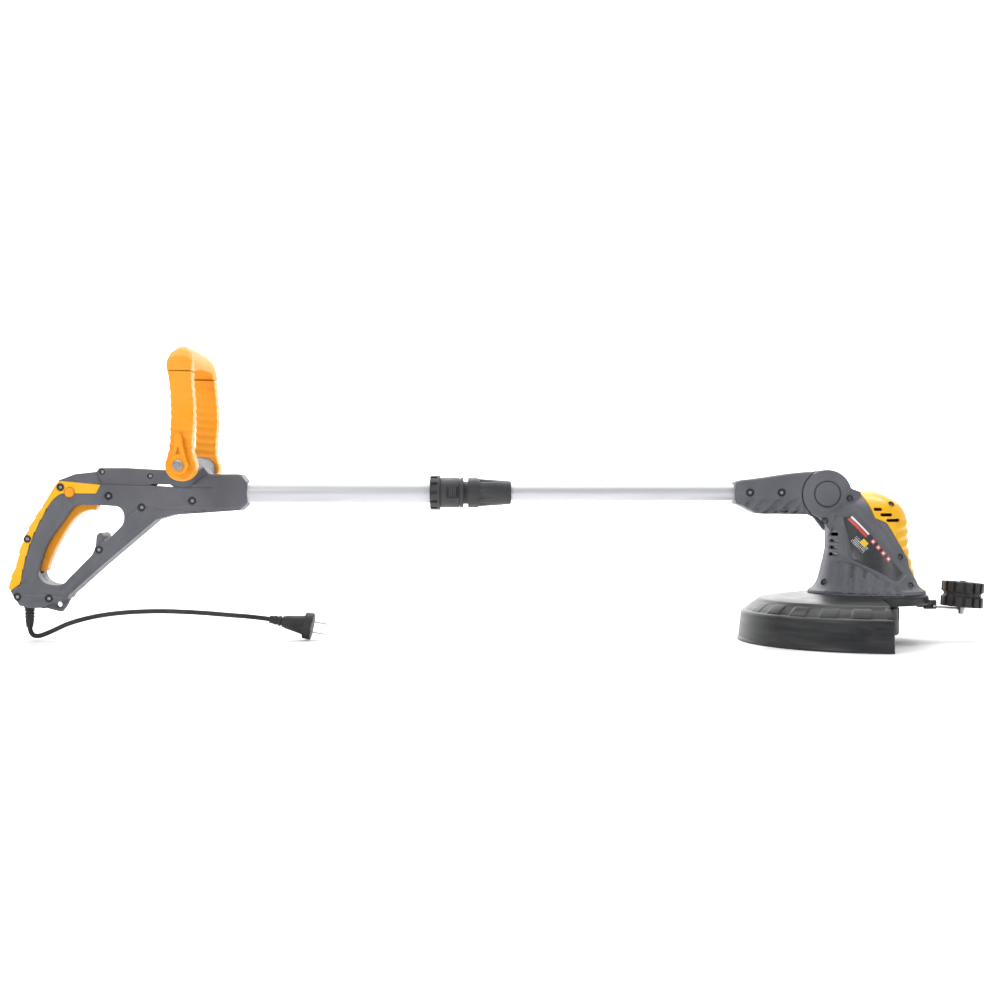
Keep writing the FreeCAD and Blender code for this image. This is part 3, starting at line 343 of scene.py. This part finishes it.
FINISHES = {
    "yellow_plastic": moulded("yellow_plastic_finish", YELLOW, 0.36, coat=0.08),
    "yellow_grip": moulded("yellow_grip_finish", ORANGE, 0.42, grain=1200, depth=0.00007),
    "orange_plastic": moulded("orange_plastic_finish", ORANGE, 0.34, coat=0.1),
    "grey_plastic": moulded("grey_plastic_finish", GREY, 0.46, grain=1300, depth=0.00008, wear=0.1),
    "dark_plastic": moulded("dark_plastic_finish", (0.034, 0.035, 0.038), 0.42, wear=0.07),
    "black_plastic": moulded("black_plastic_finish", (0.018, 0.018, 0.020), 0.40, wear=0.06),
    "guard_plastic": guard_skin("guard_finish"),
    "black_rubber": moulded("rubber_finish", (0.014, 0.014, 0.015), 0.55, grain=2200, depth=0.00006,
                            wear=0.05),
    "tube_alloy": drawn_alloy("tube_finish"),
    "steel": machined("steel_finish", (0.42, 0.43, 0.45), 0.34),
    "cutter_steel": machined("cutter_finish", (0.62, 0.63, 0.65), 0.28),
    "core_steel": machined("core_finish", (0.24, 0.235, 0.24), 0.48),
    "brass": machined("brass_finish", (0.46, 0.43, 0.40), 0.36),
    "nylon_line": line_skin("line_finish"),
    "label": label_skin("label_finish"),
}
DARK_SCREW = machined("dark_screw_finish", (0.10, 0.10, 0.105), 0.42)
# Painted shade: near-black finish for the rings and well floors that stand in for the shade inside the screw
# recesses.
PAINTED_WELL_SHADE = moulded("well_shade_finish", (0.012, 0.012, 0.014), 0.7, wear=0.02)

for node in nodes.values():
    for item in node.material_slots:
        item.material = FINISHES[item.material.name.split(".")[0]]
lead.data.materials.append(FINISHES["black_rubber"])


# ---------------------------------------------------------------- moulded details

def metres(points):
    """Points given in millimetres, as metres."""
    return [tuple(part * MM for part in point) for point in points]


def distance_to_line(x, z, route):
    """Distance of each point from a run of straight lines in the side plane."""
    best = np.full(len(x), 9.0)
    for (x1, z1), (x2, z2) in zip(route, route[1:]):
        dx, dz = x2 - x1, z2 - z1
        share = np.clip(((x - x1) * dx + (z - z1) * dz) / (dx * dx + dz * dz), 0, 1)
        best = np.minimum(best, np.hypot(x - x1 - share * dx, z - z1 - share * dz))
    return best


def inside_outline(x, z, outline):
    """True for each point within a closed outline in the side plane."""
    within = np.zeros(len(x), bool)
    for (x1, z1), (x2, z2) in zip(outline, outline[1:] + outline[:1]):
        if z1 != z2:
            crossing = (z1 > z) != (z2 > z)
            within ^= crossing & (x < (x2 - x1) * (z - z1) / (z2 - z1) + x1)
    return within


def groove(route, width, depth):
    """Soft line pressed along a route, on the side faces."""
    route = metres(route)

    def cut(x, y, z, side, out):
        return side * depth * MM * np.exp(-(distance_to_line(x, z, route) / (width * MM)) ** 2)
    return cut


def sunk_panel(outline, depth, soft=0.8):
    """Flat panel sunk below the side face, with soft edges."""
    outline = metres(outline)

    def cut(x, y, z, side, out):
        edge = distance_to_line(x, z, outline + outline[:1]) / (soft * MM)
        signed = np.where(inside_outline(x, z, outline), edge, -edge)
        return side * depth * MM * np.clip(0.5 + 0.5 * signed, 0, 1)
    return cut


def folds(outline, direction, pitch, depth, sharp=1.0, sides_only=True):
    """Row of soft scallops across a direction, fading out at the edge of an outline."""
    outline = metres(outline)
    fade_over = 2.5 * MM

    def cut(x, y, z, side, out):
        phase = (x * direction[0] + z * direction[1]) / (pitch * MM) * 2 * math.pi
        wave = (0.5 + 0.5 * np.cos(phase)) ** sharp
        edge = distance_to_line(x, z, outline + outline[:1]) / fade_over
        fade = np.where(inside_outline(x, z, outline), np.clip(edge, 0, 1), 0)
        return (side if sides_only else out) * depth * MM * wave * fade
    return cut


def screw_wells(places, radius, depth):
    """Round wells for screws in the left side."""
    places = metres(places)
    rounding = 0.5 * MM

    def cut(x, y, z, side, out):
        total = np.zeros(len(x))
        for across, up in places:
            gap = np.hypot(x - across, z - up)
            total += np.clip((radius * MM - gap) / rounding, 0, 1)
        return side * (y < 0) * depth * MM * np.clip(total, 0, 1)
    return cut


def drawn_in(start, end, amount):
    """Whole section shrunk around the shaft towards one end, as a quarter round."""
    def shape(x, y, z):
        along = np.clip((x - start * MM) / ((end - start) * MM), 0, 1)
        scale = 1 - amount * (1 - np.sqrt(1 - 0.98 * along ** 2))
        return np.stack([x, y * scale, SHAFT + (z - SHAFT) * scale], axis=1)
    return shape


def domed(node):
    """Top of a bar rounded to a half circle across X."""
    low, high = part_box(node)
    half = (high[0] - low[0]) / 2
    tall = high[2] - low[2]

    def shape(x, y, z):
        across = np.clip((x - low[0]) / half - 1, -1, 1)
        drop = half * (1 - np.sqrt(1 - 0.96 * across ** 2))
        return np.stack([x, y, low[2] + (z - low[2]) * (tall - drop) / tall], axis=1)
    return shape


def creased(x, y, z):
    """Guard's soft shoulder turned into a sloping band between two clear creases."""
    hub = 75
    skirt_top, blend = 18, 12
    radius = np.hypot(x - MOTOR, y) / MM
    soft = np.interp(radius, [76, 104, 134, 146, 151], [58.5, 54, 46.5, 41, 33])
    crisp = np.interp(radius, [76, 129, 151], [58.5, 51, 33.5])
    lift = np.where(radius < hub, 0, crisp - soft) * np.clip((z / MM - skirt_top) / blend, 0, 1)
    return np.stack([x, y, z + lift * MM], axis=1)


def carved(node, body, slot, voxel, outer, marks, keep=0.5, relax_by=3, shape=None):
    """Softened copy of a moulded CAD node with details pressed into its outer faces."""
    work = bpy.data.objects.new(node + "_moulding", nodes[node].data.copy())
    scene.collection.objects.link(work)
    remesh = work.modifiers.new("even", "REMESH")
    remesh.mode = "VOXEL"
    remesh.voxel_size = voxel * MM
    relax = work.modifiers.new("relax", "SMOOTH")
    relax.factor = 0.5
    relax.iterations = relax_by
    evaluated = work.evaluated_get(bpy.context.evaluated_depsgraph_get())
    mesh = bpy.data.meshes.new_from_object(evaluated)
    work.modifiers.clear()
    work.data = mesh
    count = len(mesh.vertices)
    places = np.empty(count * 3, np.float32)
    normals = np.empty(count * 3, np.float32)
    mesh.vertices.foreach_get("co", places)
    mesh.vertices.foreach_get("normal", normals)
    places = places.reshape(-1, 3).astype(float)
    normals = normals.reshape(-1, 3).astype(float)
    x, y, z = places.T
    out = outer(x, y, z, normals).astype(float)
    side = np.clip((np.abs(normals[:, 1]) - 0.35) / 0.3, 0, 1) * out
    depth = sum(mark(x, y, z, side, out) for mark in marks)
    low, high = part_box(node)
    places = places - normals * depth[:, None]
    if shape:
        places = shape(*places.T)
    places = np.clip(places, np.array(low), np.array(high))
    mesh.vertices.foreach_set("co", places.astype(np.float32).ravel())
    mesh.update()
    thin = work.modifiers.new("thin", "DECIMATE")
    thin.ratio = keep
    evaluated = work.evaluated_get(bpy.context.evaluated_depsgraph_get())
    slim = bpy.data.meshes.new_from_object(evaluated)
    work.modifiers.clear()
    work.data = slim
    bpy.data.meshes.remove(mesh)
    slim.polygons.foreach_set("use_smooth", [True] * len(slim.polygons))
    slim.materials.clear()
    slim.materials.append(FINISHES[slot])
    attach(work, body)
    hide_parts(node)


def facing_out(half, reach):
    """Chooser of the outer side faces of a two-part shell that is `half` wide on each side."""
    def outer(x, y, z, normals):
        return (np.abs(y) > (half - reach) * MM) * (normals[:, 1] * y > 0)
    return outer


def everywhere(x, y, z, normals):
    """Chooser of every face."""
    return np.ones(len(x))


HANDLE_WELLS = [(-470, 176), (-430, 162), (-369, 170), (-481.5, 111), (-580, 54), (-542, 52)]
GRIP_WELLS = [(-528, 186.5), (-568, 124)]
BRACKET_WELLS = [(-478, 205), (-420, 200)]
ARM_WELLS = [(304, 180), (342, 180)]
HEAD_WELLS = [(424, 173), (394, 146), (478, 103), (393, 72), (490, 69)]
COVER_WELLS = [(470, 165)]


def loop_handle():
    """Ridged loop handle: its two legs and the crossbar."""
    legs = [(-400, 225), (-345, 225), (-345, 326), (-400, 326)]
    ridges = folds(legs, (0.08, 1), 9.5, 0.9, 0.6, sides_only=False)
    seam = groove([(-400, 262), (-345, 262)], 0.5, 0.7)
    for side in ("left", "right"):
        carved("aux_arm_" + side, "aux_loop", "yellow_grip", 1.0, everywhere, [ridges, seam], relax_by=14)

    def bar_ribs(x, y, z, side, out):
        wave = (0.5 + 0.5 * np.cos(y / (9 * MM) * 2 * math.pi)) ** 0.6
        return out * 0.9 * MM * wave * (np.abs(y) < 60 * MM)
    top_seam = groove([(-400, 335), (-345, 335)], 0.5, 0.7)
    carved("aux_crossbar", "aux_loop", "yellow_grip", 1.0, everywhere, [bar_ribs, top_seam], relax_by=12,
           shape=domed("aux_crossbar"))


def grip():
    """Stepped yellow spine of the grip and its two grey shells with their ledges."""
    def scales(x, y, z, side, out):
        along = (x * 0.42 + z) / (17 * MM)
        return out * 1.2 * MM * (along % 1.0) ** 2 * (z < 0.165) * (x < -0.535)
    wells = screw_wells(GRIP_WELLS, 5.0, 2.2)
    carved("grip_cover", "handle", "yellow_plastic", 0.9, everywhere, [scales, wells])
    strut = groove([(-433, 163), (-452, 147), (-480, 118), (-518, 76), (-528, 62)], 1.2, 1.5)
    lower = sunk_panel([(-303, 157), (-348, 158), (-404, 158), (-424, 150), (-478, 102), (-512, 66),
                        (-520, 50), (-490, 60), (-400, 140), (-303, 145)], 1.6, 1.2)
    front = groove([(-433, 163), (-404, 160), (-345, 160), (-303, 159)], 1.2, 1.6)
    rise = groove([(-346, 187), (-380, 187), (-420, 189), (-470, 190)], 0.9, 1.0)
    notches = folds([(-382, 146), (-340, 148), (-340, 159), (-382, 157)], (1, 0.2), 12, 2.2)
    palm = sunk_panel([(-566, 66), (-552, 100), (-532, 138), (-515, 165), (-524, 168), (-542, 138),
                       (-560, 104), (-572, 70)], 1.0, 2.5)
    foot = groove([(-588, 62), (-575, 58), (-545, 57), (-520, 54)], 0.9, 1.1)
    wells = screw_wells(HANDLE_WELLS, 5.0, 2.2)
    for side in ("left", "right"):
        carved("handle_shell_" + side, "handle", "grey_plastic", 1.0, facing_out(19, 9),
               [strut, lower, front, rise, notches, palm, foot, wells], shape=drawn_in(-316, -303, 0.28))


def tilt_arm():
    """Arm shells with a ledge along the middle and diagonal flutes below it."""
    ledge = sunk_panel([(280, 175), (330, 173.5), (372, 173), (372, 140), (280, 140)], 1.2, 1.0)
    flutes = folds([(297, 150), (362, 150), (370, 171), (297, 173)], (0.75, -0.66), 13, 3.4, 1.2)
    collar_line = groove([(372, 155), (368, 178), (372, 200)], 0.9, 1.0)
    wells = screw_wells(ARM_WELLS, 4.8, 2.0)
    for side in ("left", "right"):
        carved("arm_shell_" + side, "lower_shaft", "grey_plastic", 0.9, facing_out(20, 14),
               [ledge, flutes, collar_line, wells], shape=drawn_in(300, 286, 0.32))


def head_shells():
    """Motor housing with its panel, screw wells and scalloped foot, and the waved rear cover."""
    foot = [(392, 97), (410, 98), (421, 95), (432, 90), (444, 84), (456, 76), (482, 65), (482, 58), (388, 58)]
    drape = folds(foot, (1, -0.15), 14, 2.2, 1.6)
    scallop = sunk_panel(foot, 1.0, 0.7)
    panel = sunk_panel([(411, 152), (425, 156), (486, 83), (471, 73), (419, 100)], 1.2, 0.8)
    bead = groove([(423, 156), (404, 153), (410, 107), (420, 99), (474, 74), (485, 80)], 1.7, -1.6)
    brow = groove([(398, 118), (397, 152), (404, 161), (428, 163), (450, 142), (486, 100)], 1.0, 1.0)

    def outer(x, y, z, normals):
        from_axis = np.hypot(x - MOTOR, y)
        outward = normals[:, 0] * (x - MOTOR) + normals[:, 1] * y
        return (outward > 0) * (from_axis > 30 * MM)

    for side in ("left", "right"):
        marks = [drape, scallop, brow]
        if side == "left":
            marks += [panel, bead, screw_wells(HEAD_WELLS, 4.2, 2.6)]
        carved("motor_housing_" + side, "head", "grey_plastic", 1.0, outer, marks)

    def waves(x, y, z, side, out):
        wave = (0.5 + 0.5 * np.cos((z + 0.3 * np.abs(y)) / (12 * MM) * 2 * math.pi)) ** 0.7
        return out * 1.3 * MM * wave * (x > 0.474) * (z < 0.150)
    carved("rear_cover", "head", "yellow_plastic", 0.9, outer, [waves, screw_wells(COVER_WELLS, 3.4, 1.6)])


def guard():
    """Guard with its sloping band and a row of plain raised pads on it."""
    def top_side(x, y, z, normals):
        return normals[:, 2] > 0.05

    first, last, pitch = 6, 96, 15
    half_angle, half_width = 4.6, 6.5
    band_radius = 140
    rise = 0.9 * MM

    def pads(x, y, z, side, out):
        turn = np.degrees(np.arctan2(-y, MOTOR - x))
        to_side = half_angle - np.abs((turn - first) % pitch - pitch / 2)
        to_end = half_width - np.abs(np.hypot(x - MOTOR, y) / MM - band_radius)
        inside = np.clip(to_side / 0.6, 0, 1) * np.clip(to_end, 0, 1)
        return -rise * out * inside * (turn > first) * (turn < last) * (z > 0.030)
    carved("guard", "head", "guard_plastic", 1.1, top_side, [pads], keep=0.35, relax_by=1, shape=creased)


def turned(name, body, finish, rings, across, up, beside=0):
    """Small turned piece about Y, set on the face that is seen `beside` its middle.

    Each ring is a radius and a height out of that face, in millimetres.
    """
    start = Vector(((across + beside) * MM, -0.3, up * MM))
    along_y = Vector((0, 1, 0))
    face = scene.ray_cast(bpy.context.evaluated_depsgraph_get(), start, along_y)[1].y
    around = 28
    turns = [2 * math.pi * step / around for step in range(around)]
    mesh = bmesh.new()
    loops = [[mesh.verts.new(((across + radius * math.cos(turn)) * MM, face - height * MM,
                              (up + radius * math.sin(turn)) * MM)) for turn in turns]
             for radius, height in rings]
    for near, far in zip(loops, loops[1:] + loops[:1]):
        for step in range(around):
            mesh.faces.new((near[step], near[step - 1], far[step - 1], far[step]))
    bmesh.ops.recalc_face_normals(mesh, faces=mesh.faces)
    data = bpy.data.meshes.new(name)
    mesh.to_mesh(data)
    mesh.free()
    data.materials.append(finish)
    piece = bpy.data.objects.new(name, data)
    scene.collection.objects.link(piece)
    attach(piece, body)


def painted_screw_shade():
    """Painted shade: dark rings round the CAD's screws and a dark floor in each well of the head stand in for
    the shade in their recesses, with a round screw head in each well of the head.
    """
    bpy.context.view_layer.update()
    # Painted shade: dark ring round each CAD screw, standing in for the shade of its recess.
    shade_ring = [(4.4, -0.1), (4.3, 0.25), (2.1, 0.15), (2.0, -0.1)]
    # Painted shade: dark floor in each well of the head, standing in for the shade deep in the well.
    shade_floor = [(4.3, -1.2), (4.2, 0.5), (0.4, 0.3), (0.3, -1.2)]
    screw = [(2.3, 0.0), (2.2, 0.4), (1.1, 0.6), (1.0, 0.1)]
    clear_of_recess = 2.8
    clear_of_hole = 1.5
    places = [("handle", place) for place in HANDLE_WELLS + GRIP_WELLS + BRACKET_WELLS]
    places += [("lower_shaft", place) for place in ARM_WELLS]
    for number, (body, (across, up)) in enumerate(places):
        turned("screw_rim_%d" % number, body, PAINTED_WELL_SHADE, shade_ring, across, up, clear_of_recess)
    for number, (across, up) in enumerate(HEAD_WELLS + COVER_WELLS):
        turned("head_well_shade_%d" % number, "head", PAINTED_WELL_SHADE, shade_floor, across, up)
        bpy.context.view_layer.update()
        turned("head_screw_%d" % number, "head", DARK_SCREW, screw, across, up, clear_of_hole)


loop_handle()
grip()
tilt_arm()
head_shells()
guard()
painted_screw_shade()


# ---------------------------------------------------------------- floor and light

def add_floor():
    """Pale floor that sweeps up into a plain backdrop."""
    bend = 1.2
    near, depth = -6, 2.2
    height = 4.5
    width = 7
    profile = [(near, 0), (depth, 0)]
    steps = 16
    for step in range(1, steps + 1):
        angle = math.radians(90) * step / steps
        profile.append((depth + bend * math.sin(angle), bend * (1 - math.cos(angle))))
    profile.append((depth + bend, height))
    mesh = bmesh.new()
    rails = [[mesh.verts.new((side * width, y, z)) for y, z in profile] for side in (-1, 1)]
    for i in range(len(profile) - 1):
        mesh.faces.new((rails[0][i], rails[1][i], rails[1][i + 1], rails[0][i + 1]))
    data = bpy.data.meshes.new("floor")
    mesh.to_mesh(data)
    mesh.free()
    for face in data.polygons:
        face.use_smooth = True
    floor = bpy.data.objects.new("floor", data)
    scene.collection.objects.link(floor)
    finish = Finish("floor_finish")
    tone = finish.mix(finish.spread(finish.noise(2), 0, 1), (0.93, 0.93, 0.93), (0.95, 0.95, 0.95))
    finish.link(tone, finish.shader.inputs["Base Color"])
    finish.set(Roughness=0.8)
    floor.data.materials.append(finish.material)


def add_softbox(name, place, target, size, power):
    """Soft area light aimed at a point."""
    data = bpy.data.lights.new(name, "AREA")
    data.shape = "RECTANGLE"
    data.size, data.size_y = size
    data.energy = power
    light = bpy.data.objects.new(name, data)
    light.location = place
    light.rotation_euler = (Vector(target) - Vector(place)).to_track_quat("-Z", "Y").to_euler()
    scene.collection.objects.link(light)


def add_light():
    """Even white studio light from above, the front and both sides."""
    world = bpy.data.worlds.new("studio")
    world.use_nodes = True
    world.node_tree.nodes["Background"].inputs["Color"].default_value = (1, 1, 1, 1)
    world.node_tree.nodes["Background"].inputs["Strength"].default_value = 0.40
    scene.world = world
    middle = (0, 0, 0.15)
    add_softbox("top_box", (0, -0.2, 1.9), middle, (2.6, 0.7), 13)
    add_softbox("front_left_box", (-1.6, -1.9, 1.5), middle, (1.0, 1.0), 27)
    add_softbox("front_right_box", (1.9, -1.5, 0.8), middle, (0.8, 1.2), 11)
    add_softbox("back_wash", (0, 1.4, 2.6), (0, 3.3, 0.4), (4.0, 1.0), 230)


add_floor()
add_light()

bpy.context.view_layer.update()
